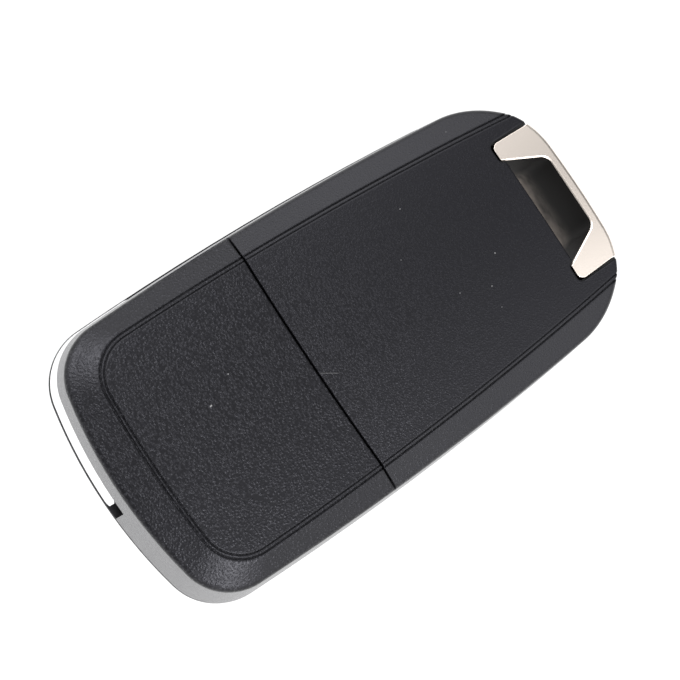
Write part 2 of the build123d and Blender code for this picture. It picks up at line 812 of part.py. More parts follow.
# Release button on the pivot axis, and the coil that returns it and throws the blade open
with BuildPart() as release_button:
    with BuildSketch(Plane.XY.offset(release_sink)):
        with Locations((hub_x, hub_y)):
            Circle(release_r)
    extrude(amount=flange_z - release_sink)
    fillet(release_button.faces().sort_by(Axis.Z)[0].edges(), key_edge)
    with BuildSketch(Plane.XY.offset(flange_z)):
        with Locations((hub_x, hub_y)):
            Circle(release_r + flange_overlap)
    extrude(amount=flange_thickness)
    with BuildSketch(Plane.XY.offset(flange_z + flange_thickness)):
        with Locations((hub_x, hub_y)):
            Circle(release_stem_r)
    extrude(amount=cavity_z - release_travel - 2 * touch - flange_z - flange_thickness)
    with Locations((hub_x, hub_y, release_sink + release_dish - release_dish_r)):
        Sphere(release_dish_r, mode=Mode.SUBTRACT)
release_button.part.label = "release_button"
export_step(release_button.part, "parts/release_button.step")

spring_low = flange_z + flange_thickness + spring_wire / 2 + touch
spring_high = cavity_z - spring_wire / 2 - touch
with BuildPart() as flip_spring:
    with BuildLine() as coil:
        Helix(spring_pitch, spring_high - spring_low, spring_r, center=(hub_x, hub_y, spring_low))
    with BuildSketch(Plane(origin=coil.line @ 0, z_dir=coil.line % 0)):
        Circle(spring_wire / 2)
    sweep(is_frenet=True)
flip_spring.part.label = "flip_spring"
export_step(flip_spring.part, "parts/flip_spring.step")

# Bezel, four keys and the soft mat behind them
with BuildPart() as button_bezel:
    with BuildSketch(Plane.XY.offset(bezel_sink)):
        with Locations((keys_x, keys_y)):
            RectangleRounded(bezel_length, bezel_width, bezel_corner_r)
    extrude(amount=bezel_thickness)
    chamfer(button_bezel.faces().sort_by(Axis.Z)[0].edges(), bezel_edge)
    with BuildSketch(Plane.XY.offset(bezel_sink)):
        with Locations(key_places()):
            RectangleRounded(key_length + 2 * slip, key_width + 2 * slip, key_corner_r + slip)
    extrude(amount=bezel_thickness, mode=Mode.SUBTRACT)
button_bezel.part.label = "button_bezel"
export_step(button_bezel.part, "parts/button_bezel.step")

for key_name, key_place in zip(key_names, key_places()):
    with BuildPart() as key:
        with BuildSketch(Plane.XY.offset(key_sink)):
            with Locations(key_place):
                RectangleRounded(key_length, key_width, key_corner_r)
        extrude(amount=flange_z - key_sink)
        fillet(key.faces().sort_by(Axis.Z)[0].edges(), key_edge)
        with BuildSketch(Plane.XY.offset(flange_z)):
            with Locations(key_place):
                RectangleRounded(
                    key_length + 2 * key_flange, key_width + 2 * key_flange, key_corner_r + key_flange
                )
        extrude(amount=key_flange_thickness)
        with Locations((*key_place, key_sink + key_dish - key_dish_r)):
            Sphere(key_dish_r, mode=Mode.SUBTRACT)
    key.part.label = key_name
    export_step(key.part, f"parts/{key_name}.step")

with BuildPart() as keypad_mat:
    with BuildSketch(Plane.XY.offset(mat_z)):
        with Locations((keys_x, keys_y)):
            RectangleRounded(mat_end - mat_start, mat_high - mat_low, bezel_corner_r)
    extrude(amount=mat_thickness)
    with Locations(*[(*place, mat_z + mat_thickness) for place in key_places()]):
        Cone(mat_dome_r, mat_dome_r / 2, mat_dome, align=(Align.CENTER, Align.CENTER, Align.MIN))
keypad_mat.part.label = "keypad_mat"
export_step(keypad_mat.part, "parts/keypad_mat.step")

# The screws under the battery cover, which hold the rear case to the frame
with BuildPart() as case_screws:
    tab_top = tab_z + tab_thickness
    with BuildSketch(Plane.XY.offset(tab_top)):
        with Locations(*screw_places):
            Circle(screw_head_r)
    extrude(amount=screw_head)
    fillet(case_screws.faces().group_by(Axis.Z)[-1].edges(), screw_head / 3)
    with BuildSketch(Plane.XY.offset(tab_top)):
        with Locations(*screw_places):
            Circle(screw_r)
    extrude(amount=-screw_length)
    with BuildSketch(Plane.XY.offset(tab_top + screw_head)):
        with Locations(*screw_places):
            Rectangle(screw_head_r, cross_width)
            Rectangle(cross_width, screw_head_r)
    extrude(amount=-screw_head / 2, mode=Mode.SUBTRACT)
case_screws.part.label = "case_screws"
export_step(case_screws.part, "parts/case_screws.step")
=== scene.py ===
"""Dresses the flip key shell, models its spring, screws and the dark strips of painted shade in
the bracket's slots, and sets up the studio.
"""

import logging
import math
from collections.abc import Callable, Sequence
from dataclasses import dataclass
from enum import Enum

import bpy
from mathutils import Matrix, Vector


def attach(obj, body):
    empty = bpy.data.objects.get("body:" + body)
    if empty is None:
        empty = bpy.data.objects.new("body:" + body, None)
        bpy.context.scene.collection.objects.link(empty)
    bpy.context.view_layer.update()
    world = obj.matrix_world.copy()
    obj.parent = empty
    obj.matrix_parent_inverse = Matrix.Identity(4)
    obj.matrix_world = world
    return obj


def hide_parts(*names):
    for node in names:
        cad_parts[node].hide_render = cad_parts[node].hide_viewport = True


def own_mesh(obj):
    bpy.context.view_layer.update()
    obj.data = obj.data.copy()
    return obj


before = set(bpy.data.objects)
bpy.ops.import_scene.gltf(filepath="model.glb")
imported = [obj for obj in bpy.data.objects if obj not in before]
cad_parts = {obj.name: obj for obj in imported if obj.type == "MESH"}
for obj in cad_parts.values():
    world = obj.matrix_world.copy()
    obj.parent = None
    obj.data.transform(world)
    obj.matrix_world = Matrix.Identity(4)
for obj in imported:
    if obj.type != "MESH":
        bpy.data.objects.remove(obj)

log = logging.getLogger("flip_key")

MM = 0.001
CLOSE = 1e-6
SMOOTH_ANGLE = math.radians(35.0)

# The sockets of a Mix node for colours
BASE_COLOUR = 6
SECOND_COLOUR = 7
MIXED_COLOUR = 2

# Most of a noise texture lies between these levels
NOISE_LOW = 0.3
NOISE_HIGH = 0.7

# How far an upright face's normal may point up or down
UPRIGHT_LEAN = 0.4

Colour = tuple[float, float, float, float]
Point = tuple[float, float, float]
Tree = bpy.types.NodeTree
Node = bpy.types.Node
Socket = bpy.types.NodeSocket
Material = bpy.types.Material
Piece = bpy.types.Object


class Grain(Enum):
    """The mould textures on the housing, as the width of a pebble in mm."""

    COARSE = 0.3
    MEDIUM = 0.22
    FINE = 0.15


def colour(hex_text: str) -> Colour:
    """Turns an sRGB hex colour into a linear one.

    Args:
        hex_text: Six hex digits, as in "1c1c1e".

    Returns:
        Linear red, green, blue and an alpha of 1.
    """
    channels = [int(hex_text[i : i + 2], 16) / 255 for i in (0, 2, 4)]
    linear = [c / 12.92 if c <= 0.04045 else ((c + 0.055) / 1.055) ** 2.4 for c in channels]
    return (*linear, 1.0)


def add_node(
    tree: Tree,
    kind: str,
    settings: dict[str, object] | None = None,
    inputs: dict[str | int, object] | None = None,
) -> Node:
    """Adds one shader node with its settings and links.

    Args:
        tree: The node tree to add to.
        kind: The node's type name.
        settings: Properties to set on the node.
        inputs: Values for its sockets, or what links to them: a socket, or a node's first output.

    Returns:
        The new node.
    """
    node = tree.nodes.new(kind)
    for name, value in (settings or {}).items():
        setattr(node, name, value)
    for name, value in (inputs or {}).items():
        source = value.outputs[0] if isinstance(value, Node) else value
        if isinstance(source, Socket):
            tree.links.new(source, node.inputs[name])
        else:
            node.inputs[name].default_value = source
    return node


def new_tree(name: str) -> tuple[Material, Tree, Socket]:
    """Makes an empty material.

    Args:
        name: The material's name.

    Returns:
        The material, its node tree and the Object coordinates' socket.
    """
    material = bpy.data.materials.new(name)
    material.use_nodes = True
    tree = material.node_tree
    tree.nodes.clear()
    place = add_node(tree, "ShaderNodeTexCoord").outputs["Object"]
    return material, tree, place


def upright(tree: Tree) -> tuple[Node, Node]:
    """Picks the faces that stand upright, such as the flanks of a joint.

    Args:
        tree: The material's node tree.

    Returns:
        A node with 1 on upright faces, and one with the faces' directions split in three.
    """
    normal = add_node(tree, "ShaderNodeNewGeometry").outputs["True Normal"]
    facing = add_node(tree, "ShaderNodeSeparateXYZ", {}, {0: normal})
    steep = add_node(
        tree,
        "ShaderNodeMath",
        {"operation": "COMPARE"},
        {0: facing.outputs[2], 1: 0.0, 2: UPRIGHT_LEAN},
    )
    return steep, facing


def relief(tree: Tree, height: Node, depth_mm: float, edge_mm: float) -> Node:
    """Raises a pattern on the surface, over edges that look slightly rounded.

    Args:
        tree: The material's node tree.
        height: The pattern, from 0 to 1.
        depth_mm: How far the pattern stands out.
        edge_mm: The radius that a sharp edge seems to have.

    Returns:
        The node that gives the normal.
    """
    rounded = add_node(tree, "ShaderNodeBevel", {"samples": 6}, {"Radius": edge_mm * MM})
    return add_node(
        tree,
        "ShaderNodeBump",
        {},
        {"Strength": 1.0, "Distance": depth_mm * MM, "Height": height, "Normal": rounded},
    )


@dataclass(frozen=True)
class Mark:
    """A pale mark on the back: a dust speck, or a scratch when it has a length.

    Its core is the share of its radius that has its full strength.
    """

    x_mm: float
    y_mm: float
    radius_mm: float
    length_mm: float = 0.0
    turn_deg: float = 0.0
    strength: float = 0.7
    core: float = 0.4

    def mask(self, tree: Tree, place: Socket) -> Node:
        """Gives the mark's strength on the mark and 0 off it, with a soft edge.

        Args:
            tree: The material's node tree.
            place: The Object coordinates.

        Returns:
            The node that holds the mask.
        """
        local = add_node(
            tree,
            "ShaderNodeMapping",
            {"vector_type": "TEXTURE"},
            {
                "Vector": place,
                "Location": (self.x_mm * MM, self.y_mm * MM, 0.0),
                "Rotation": (0.0, 0.0, math.radians(self.turn_deg)),
                "Scale": (MM, MM, 1.0),
            },
        )
        spread = add_node(tree, "ShaderNodeVectorMath", {"operation": "ABSOLUTE"}, {0: local})
        past = add_node(
            tree,
            "ShaderNodeVectorMath",
            {"operation": "SUBTRACT"},
            {0: spread, 1: (self.length_mm / 2, 0.0, 0.0)},
        )
        beyond = add_node(
            tree, "ShaderNodeVectorMath", {"operation": "MAXIMUM"}, {0: past, 1: (0.0, 0.0, 0.0)}
        )
        off = add_node(tree, "ShaderNodeVectorMath", {"operation": "LENGTH"}, {0: beyond})
        return add_node(
            tree,
            "ShaderNodeMapRange",
            {},
            {
                "Value": off.outputs["Value"],
                "From Min": self.radius_mm,
                "From Max": self.core * self.radius_mm,
                "To Max": self.strength,
            },
        )


@dataclass(frozen=True)
class MouldedGrain:
    """Black ABS moulded in a spark-eroded tool: satin, with a pebbled grain.

    The grain is finer than the picture can show on most of the shell, so it is drawn as coarse
    as it needs to show. Its colour is painted shade in the pits and painted highlights on the
    tops, where the side lights would catch them; where the grain fades, this painted light fades
    with its bump. A span is the stretch of a texture's values that is drawn out to its full
    height.
    """

    name: str
    pit: str
    top: str
    grain: Grain
    depth_mm: float
    roughness: float
    specular: float = 0.4
    tint: str = "f4f4ff"
    contrast: float = 1.0
    pebble_span: tuple[float, float] = (0.75, 0.1)
    height_span: tuple[float, float] = (0.08, 0.62)
    mean_level: float = 0.4
    mottle: float = 0.8
    swing: float = 0.12
    fade_mm: tuple[float, float] | None = None
    fade_lean: float = 0.4
    faded: float = 0.25
    edge_mm: float = 0.12
    marks: tuple[Mark, ...] = ()
    mark_shade: str = "7c7c7c"
    slot_mm: tuple[float, float] | None = None

    def build(self) -> Material:
        """Builds the material: the grain sets the colour, the roughness and the bump.

        Returns:
            The material.
        """
        material, tree, place = new_tree(self.name)
        level = self._level(tree, place)
        # The grain's colour: painted shade in the pits, painted highlights on the tops
        shade = add_node(
            tree,
            "ShaderNodeMix",
            {"data_type": "RGBA"},
            {"Factor": level, BASE_COLOUR: colour(self.pit), SECOND_COLOUR: colour(self.top)},
        ).outputs[MIXED_COLOUR]
        for mark in self.marks:
            shade = add_node(
                tree,
                "ShaderNodeMix",
                {"data_type": "RGBA"},
                {
                    "Factor": mark.mask(tree, place),
                    BASE_COLOUR: shade,
                    SECOND_COLOUR: colour(self.mark_shade),
                },
            ).outputs[MIXED_COLOUR]
        rough = add_node(
            tree,
            "ShaderNodeMapRange",
            {},
            {
                "Value": level,
                "To Min": (1 + self.swing) * self.roughness,
                "To Max": (1 - self.swing) * self.roughness,
            },
        )
        if self.slot_mm is not None:
            matt = self._slot(tree, place)
            rough = add_node(tree, "ShaderNodeMath", {"operation": "MAXIMUM"}, {0: rough, 1: matt})
        shader = add_node(
            tree,
            "ShaderNodeBsdfPrincipled",
            {},
            {
                "Base Color": shade,
                "Roughness": rough,
                "Specular IOR Level": self.specular,
                "Specular Tint": colour(self.tint),
                "IOR": 1.4,
                "Normal": relief(tree, level, self.depth_mm, self.edge_mm),
            },
        )
        add_node(tree, "ShaderNodeOutputMaterial", {}, {"Surface": shader})
        return material

    def _slot(self, tree: Tree, place: Socket) -> Node:
        """Picks the flanks of the slot for the bracket, which are matt and read as dark.

        Args:
            tree: The material's node tree.
            place: The Object coordinates.

        Returns:
            A node with 1 on those flanks and 0 elsewhere.
        """
        start, half_width = self.slot_mm
        x, y, _ = add_node(tree, "ShaderNodeSeparateXYZ", {}, {0: place}).outputs
        side = add_node(tree, "ShaderNodeMath", {"operation": "ABSOLUTE"}, {0: y})
        between = add_node(
            tree, "ShaderNodeMath", {"operation": "LESS_THAN"}, {0: side, 1: half_width * MM}
        )
        past = add_node(
            tree, "ShaderNodeMath", {"operation": "GREATER_THAN"}, {0: x, 1: start * MM}
        )
        steep, _ = upright(tree)
        flank = add_node(tree, "ShaderNodeMath", {"operation": "MULTIPLY"}, {0: between, 1: past})
        return add_node(tree, "ShaderNodeMath", {"operation": "MULTIPLY"}, {0: flank, 1: steep})

    def _level(self, tree: Tree, place: Socket) -> Node:
        """Draws the grain as a height from 0 to 1, which may fade along the part.

        Args:
            tree: The material's node tree.
            place: The Object coordinates.

        Returns:
            The node that holds the height.
        """
        scale = 1 / (self.grain.value * MM)
        foot, crown = self.pebble_span
        low, high = self.height_span
        pebbles = add_node(
            tree,
            "ShaderNodeTexVoronoi",
            {"feature": "SMOOTH_F1"},
            {"Vector": place, "Scale": scale, "Smoothness": 0.5, "Randomness": 1.0},
        )
        mottle = add_node(
            tree,
            "ShaderNodeTexNoise",
            {},
            {"Vector": place, "Scale": self.mottle * scale, "Detail": 3.0, "Roughness": 0.7},
        )
        tops = add_node(
            tree,
            "ShaderNodeMapRange",
            {},
            {"Value": pebbles, "From Min": foot, "From Max": crown},
        )
        uneven = add_node(
            tree,
            "ShaderNodeMapRange",
            {},
            {"Value": mottle, "From Min": NOISE_LOW, "From Max": NOISE_HIGH},
        )
        both = add_node(tree, "ShaderNodeMath", {"operation": "MULTIPLY"}, {0: tops, 1: uneven})
        height = add_node(
            tree,
            "ShaderNodeMapRange",
            {},
            {
                "Value": both,
                "From Min": low,
                "From Max": high,
                "To Min": -self.mean_level,
                "To Max": 1 - self.mean_level,
            },
        )
        amount = self.contrast if self.fade_mm is None else self._fade(tree, place)
        return add_node(
            tree,
            "ShaderNodeMath",
            {"operation": "MULTIPLY_ADD"},
            {0: height, 1: amount, 2: self.mean_level},
        )

    def _fade(self, tree: Tree, place: Socket) -> Node:
        """Lets the grain's contrast fade along the part, a little aslant.

        Args:
            tree: The material's node tree.
            place: The Object coordinates.

        Returns:
            The node that holds the contrast.
        """
        along = add_node(
            tree,
            "ShaderNodeVectorMath",
            {"operation": "DOT_PRODUCT"},
            {0: place, 1: (1.0, self.fade_lean, 0.0)},
        )
        start, end = self.fade_mm
        return add_node(
            tree,
            "ShaderNodeMapRange",
            {"interpolation_type": "SMOOTHSTEP"},
            {
                "Value": along.outputs["Value"],
                "From Min": start * MM,
                "From Max": end * MM,
                "To Min": self.contrast,
                "To Max": self.faded * self.contrast,
            },
        )


@dataclass(frozen=True)
class Metal:
    """A bare or plated metal with its own grain.

    The grain swings its roughness between two shares of itself.
    """

    name: str
    base: str
    roughness: float
    grain_mm: Point
    depth_mm: float
    turn_deg: float = 0.0
    edge_mm: float = 0.08
    swing: tuple[float, float] = (0.8, 1.25)

    def build(self) -> Material:
        """Builds the material: stretched noise as grain in the bump and the roughness.

        Returns:
            The material.
        """
        material, tree, place = new_tree(self.name)
        turned = add_node(
            tree,
            "ShaderNodeMapping",
            {"vector_type": "TEXTURE"},
            {
                "Vector": place,
                "Rotation": (0.0, 0.0, math.radians(self.turn_deg)),
                "Scale": tuple(g * MM for g in self.grain_mm),
            },
        )
        grain = add_node(
            tree,
            "ShaderNodeTexNoise",
            {},
            {"Vector": turned, "Scale": 1.0, "Detail": 4.0, "Roughness": 0.65},
        )
        smooth, dull = self.swing
        rough = add_node(
            tree,
            "ShaderNodeMapRange",
            {},
            {
                "Value": grain,
                "From Min": NOISE_LOW,
                "From Max": NOISE_HIGH,
                "To Min": smooth * self.roughness,
                "To Max": dull * self.roughness,
            },
        )
        shader = add_node(
            tree,
            "ShaderNodeBsdfPrincipled",
            {},
            {
                "Base Color": colour(self.base),
                "Metallic": 1.0,
                "Roughness": rough,
                "Normal": relief(tree, grain, self.depth_mm, self.edge_mm),
            },
        )
        add_node(tree, "ShaderNodeOutputMaterial", {}, {"Surface": shader})
        return material


# Bright zinc plate on the pin, the cap and the screws: cool grey, a little cloudy
BRIGHT_ZINC = Metal("bright_zinc_plate", "b9bcc0", 0.25, (0.3, 0.3, 0.3), 0.003)


@dataclass(frozen=True)
class SatinBracket:
    """Die-cast zinc, blasted and plated in satin nickel.

    It is near white in the light tent. Inside the loop its colour is painted shade, with patches
    of painted light that grow towards the foot of the loop. The upright flanks in the joint with
    the case have painted shade too; a flank keeps the plated colour if it faces the ring end by
    more than the outward limit.
    """

    name: str
    base: str
    painted_shade: str
    painted_light: str
    loop_top_mm: float
    loop_end_mm: float
    loop_lean: float
    loop_reach_mm: float
    roughness: float = 0.26
    shaded_roughness: float = 0.62
    shade_edge_mm: float = 0.1
    patch_mm: float = 2.5
    patch_high: float = 0.6
    least_painted_light: float = 0.3
    painted_light_mm: tuple[float, float] = (9.0, 1.0)
    grain_mm: float = 0.25
    depth_mm: float = 0.004
    edge_mm: float = 0.1
    outward_limit: float = 0.3

    def build(self) -> Material:
        """Builds the material: plated outside, painted shade in the loop and on the joint's
        flanks.

        Returns:
            The material.
        """
        material, tree, place = new_tree(self.name)
        x, y, z = add_node(tree, "ShaderNodeSeparateXYZ", {}, {0: place}).outputs
        inside = self._inside(tree, x, y)
        low = add_node(
            tree,
            "ShaderNodeMapRange",
            {},
            {
                "Value": z,
                "From Min": (self.loop_top_mm + self.shade_edge_mm) * MM,
                "From Max": self.loop_top_mm * MM,
            },
        )
        # Painted shade inside the loop below its top, and on the flanks in the joint with the case
        loop = add_node(tree, "ShaderNodeMath", {"operation": "MULTIPLY"}, {0: low, 1: inside})
        flanks = self._flanks(tree, inside)
        painted_shade_share = add_node(tree, "ShaderNodeMath", {"operation": "MAXIMUM"}, {0: loop, 1: flanks})
        shade = add_node(
            tree,
            "ShaderNodeMix",
            {"data_type": "RGBA"},
            {
                "Factor": painted_shade_share,
                BASE_COLOUR: colour(self.base),
                SECOND_COLOUR: self._loop_shade_and_light(tree, place, z),
            },
        )
        grain = add_node(
            tree,
            "ShaderNodeTexNoise",
            {},
            {"Vector": place, "Scale": 1 / (self.grain_mm * MM), "Detail": 3.0},
        )
        rough = add_node(
            tree,
            "ShaderNodeMapRange",
            {},
            {"Value": painted_shade_share, "To Min": self.roughness, "To Max": self.shaded_roughness},
        )
        shader = add_node(
            tree,
            "ShaderNodeBsdfPrincipled",
            {},
            {
                "Base Color": shade.outputs[MIXED_COLOUR],
                "Metallic": 1.0,
                "Roughness": rough,
                "Normal": relief(tree, grain, self.depth_mm, self.edge_mm),
            },
        )
        add_node(tree, "ShaderNodeOutputMaterial", {}, {"Surface": shader})
        return material

    def _inside(self, tree: Tree, x: Socket, y: Socket) -> Node:
        """Picks what stands over the trapezoid hole and its walls, from above.

        Args:
            tree: The material's node tree.
            x: The X of the Object coordinates.
            y: Their Y.

        Returns:
            A node with 1 inside the loop's outline and 0 elsewhere.
        """
        inner = add_node(
            tree, "ShaderNodeMath", {"operation": "LESS_THAN"}, {0: x, 1: self.loop_end_mm * MM}
        )
        side = add_node(tree, "ShaderNodeMath", {"operation": "ABSOLUTE"}, {0: y})
        lean = add_node(
            tree,
            "ShaderNodeMath",
            {"operation": "MULTIPLY_ADD"},
            {0: x, 1: self.loop_lean, 2: side},
        )
        between = add_node(
            tree,
            "ShaderNodeMath",
            {"operation": "LESS_THAN"},
            {0: lean, 1: self.loop_reach_mm * MM},
        )
        return add_node(tree, "ShaderNodeMath", {"operation": "MULTIPLY"}, {0: inner, 1: between})

    def _flanks(self, tree: Tree, inside: Node) -> Node:
        """Picks the upright flanks that stand in the joint with the case, outside the loop, for
        painted shade.

        Args:
            tree: The material's node tree.
            inside: The node with 1 inside the loop's outline.

        Returns:
            A node with 1 on those flanks and 0 elsewhere.
        """
        steep, facing = upright(tree)
        inward = add_node(
            tree, "ShaderNodeMath", {"operation": "LESS_THAN"}, {0: facing, 1: self.outward_limit}
        )
        flank = add_node(tree, "ShaderNodeMath", {"operation": "MULTIPLY"}, {0: steep, 1: inward})
        outside = add_node(tree, "ShaderNodeMath", {"operation": "SUBTRACT"}, {0: 1.0, 1: inside})
        return add_node(tree, "ShaderNodeMath", {"operation": "MULTIPLY"}, {0: flank, 1: outside})

    def _loop_shade_and_light(self, tree: Tree, place: Socket, z: Socket) -> Socket:
        """Mixes painted shade with patches of painted light that grow towards the foot of the
        loop.

        Args:
            tree: The material's node tree.
            place: The Object coordinates.
            z: Their Z.

        Returns:
            The socket that holds the colour.
        """
        patches = add_node(
            tree,
            "ShaderNodeTexNoise",
            {},
            {"Vector": place, "Scale": 1 / (self.patch_mm * MM), "Detail": 3.0},
        )
        light_streaks = add_node(
            tree,
            "ShaderNodeMapRange",
            {},
            {
                "Value": patches,
                "From Min": NOISE_LOW,
                "From Max": self.patch_high,
                "To Min": self.least_painted_light,
            },
        )
        start, end = self.painted_light_mm
        deep = add_node(
            tree,
            "ShaderNodeMapRange",
            {"interpolation_type": "SMOOTHSTEP"},
            {"Value": z, "From Min": start * MM, "From Max": end * MM},
        )
        # Painted light in patches, more of it deeper in the loop
        painted_light_share = add_node(tree, "ShaderNodeMath", {"operation": "MULTIPLY"}, {0: light_streaks, 1: deep})
        return add_node(
            tree,
            "ShaderNodeMix",
            {"data_type": "RGBA"},
            {"Factor": painted_light_share, BASE_COLOUR: colour(self.painted_shade), SECOND_COLOUR: colour(self.painted_light)},
        ).outputs[MIXED_COLOUR]


@dataclass(frozen=True)
class SmoothPlastic:
    """A plain plastic, rubber or paint with a faint unevenness."""

    name: str
    base: str
    roughness: float
    ior: float = 1.5
    coat: float = 0.0
    wave_mm: float = 6.0
    depth_mm: float = 0.01
    edge_mm: float = 0.12
    swing: float = 0.1

    def build(self) -> Material:
        """Builds the material: a slow wave in the bump and a little change in roughness.

        Returns:
            The material.
        """
        material, tree, place = new_tree(self.name)
        wave = add_node(
            tree,
            "ShaderNodeTexNoise",
            {},
            {"Vector": place, "Scale": 1 / (self.wave_mm * MM), "Detail": 2.0},
        )
        rough = add_node(
            tree,
            "ShaderNodeMapRange",
            {},
            {
                "Value": wave,
                "From Min": NOISE_LOW,
                "From Max": NOISE_HIGH,
                "To Min": (1 - self.swing) * self.roughness,
                "To Max": (1 + self.swing) * self.roughness,
            },
        )
        shader = add_node(
            tree,
            "ShaderNodeBsdfPrincipled",
            {},
            {
                "Base Color": colour(self.base),
                "Roughness": rough,
                "IOR": self.ior,
                "Coat Weight": self.coat,
                "Coat Roughness": 0.05,
                "Normal": relief(tree, wave, self.depth_mm, self.edge_mm),
            },
        )
        add_node(tree, "ShaderNodeOutputMaterial", {}, {"Surface": shader})
        return material


def finish(
    piece: Piece, material: Material, body: str, node: str | None = None
) -> None:
    """Gives a new piece its finish and its body, hides the CAD node that it stands for, and logs
    it.

    Args:
        piece: The piece.
        material: Its finish.
        body: The body that it rides on.
        node: The CAD node that it stands for, if it stands for one.
    """
    piece.data.materials.append(material)
    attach(piece, body)
    if node is not None:
        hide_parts(node)
    log.info("%s, for %s: %s", piece.name, node or "no node", material.name)


def dress(material: Material, *nodes: str) -> None:
    """Gives one finish to some of the CAD nodes.

    Args:
        material: The finish.
        nodes: The names of the nodes that take it.
    """
    for node in nodes:
        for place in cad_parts[node].material_slots:
            place.material = material
        log.info("%s: %s", node, material.name)


def begin(add: Callable[..., set[str]], **settings: object) -> Piece:
    """Adds a primitive as the start of a piece, with its place put into its mesh.

    Args:
        add: The operator that adds it.
        settings: What the operator is told.

    Returns:
        The new object.
    """
    bpy.ops.object.select_all(action="DESELECT")
    add(**settings)
    bpy.ops.object.transform_apply(location=True, rotation=True, scale=True)
    return bpy.context.active_object


def pick(*pieces: Piece) -> None:
    """Selects some objects alone and makes the first one active.

    Args:
        pieces: The objects.
    """
    bpy.ops.object.select_all(action="DESELECT")
    for piece in pieces:
        piece.select_set(True)
    bpy.context.view_layer.objects.active = pieces[0]


def choose(piece: Piece, test: Callable[[Vector], bool], kind: str = "VERT") -> None:
    """Opens a piece in edit mode with only some of its corners, edges or faces selected.

    Args:
        piece: The object.
        test: Says of a corner's place whether it is chosen.
        kind: VERT, or EDGE or FACE for those whose corners are all chosen.
    """
    pick(piece)
    bpy.ops.object.mode_set(mode="EDIT")
    bpy.ops.mesh.select_mode(type="VERT")
    bpy.ops.mesh.select_all(action="DESELECT")
    bpy.ops.object.mode_set(mode="OBJECT")
    for vertex in piece.data.vertices:
        vertex.select = test(vertex.co)
    bpy.ops.object.mode_set(mode="EDIT")
    bpy.ops.mesh.select_mode(type=kind, use_extend=False, use_expand=False)


def copy_to(piece: Piece, place: Vector, scale: Point = (1.0, 1.0, 1.0)) -> Piece:
    """Copies a piece with a mesh of its own, and puts the copy's place into its mesh.

    Args:
        piece: The object.
        place: Where the copy's origin goes, in metres.
        scale: The copy's scale, with -1 to mirror it.

    Returns:
        The copy.
    """
    pick(piece)
    bpy.ops.object.duplicate(linked=False)
    copy = bpy.context.active_object
    copy.location = place
    copy.scale = scale
    bpy.ops.object.transform_apply(location=True, rotation=True, scale=True)
    bpy.ops.object.mode_set(mode="EDIT")
    bpy.ops.mesh.select_all(action="SELECT")
    bpy.ops.mesh.normals_make_consistent(inside=False)
    bpy.ops.object.mode_set(mode="OBJECT")
    return copy


def settle(name: str, *parts: Piece) -> Piece:
    """Joins parts into one piece, names it and rounds its shading.

    Args:
        name: The piece's name.
        parts: The parts, with their places in their meshes.

    Returns:
        The piece, at the origin.
    """
    pick(*parts)
    if len(parts) > 1:
        bpy.ops.object.join()
    bpy.ops.object.shade_smooth_by_angle(angle=SMOOTH_ANGLE)
    piece = parts[0]
    piece.name = piece.data.name = name
    return piece


@dataclass(frozen=True)
class Winding:
    """A round or pointed profile wound along a helix, as a coil spring or a thread is."""

    profile_r_mm: float
    coil_r_mm: float
    height_mm: float
    pitch_mm: float
    sides: int
    steps_per_turn: int

    def build(self, foot: Vector) -> Piece:
        """Winds the profile up from its foot, and closes its two ends.

        Args:
            foot: The foot of the winding's axis, in metres.

        Returns:
            The winding, with its place in its mesh.
        """
        turns = self.height_mm / self.pitch_mm
        wound = begin(
            bpy.ops.mesh.primitive_circle_add,
            vertices=self.sides,
            radius=self.profile_r_mm * MM,
            fill_type="NOTHING",
            location=(self.coil_r_mm * MM, 0.0, 0.0),
            rotation=(math.pi / 2, math.pi / 2, 0.0),
        )
        twist = wound.modifiers.new("twist", "SCREW")
        twist.axis = "Z"
        twist.angle = turns * 2 * math.pi
        twist.screw_offset = self.height_mm * MM
        twist.steps = twist.render_steps = round(self.steps_per_turn * turns)
        bpy.ops.object.modifier_apply(modifier=twist.name)
        bpy.ops.object.mode_set(mode="EDIT")
        bpy.ops.mesh.select_mode(type="VERT")
        bpy.ops.mesh.select_all(action="DESELECT")
        bpy.ops.mesh.select_non_manifold()
        bpy.ops.mesh.fill_holes(sides=0)
        bpy.ops.mesh.select_all(action="SELECT")
        bpy.ops.mesh.normals_make_consistent(inside=False)
        bpy.ops.object.mode_set(mode="OBJECT")
        wound.location = foot
        bpy.ops.object.transform_apply(location=True, rotation=True, scale=True)
        return wound


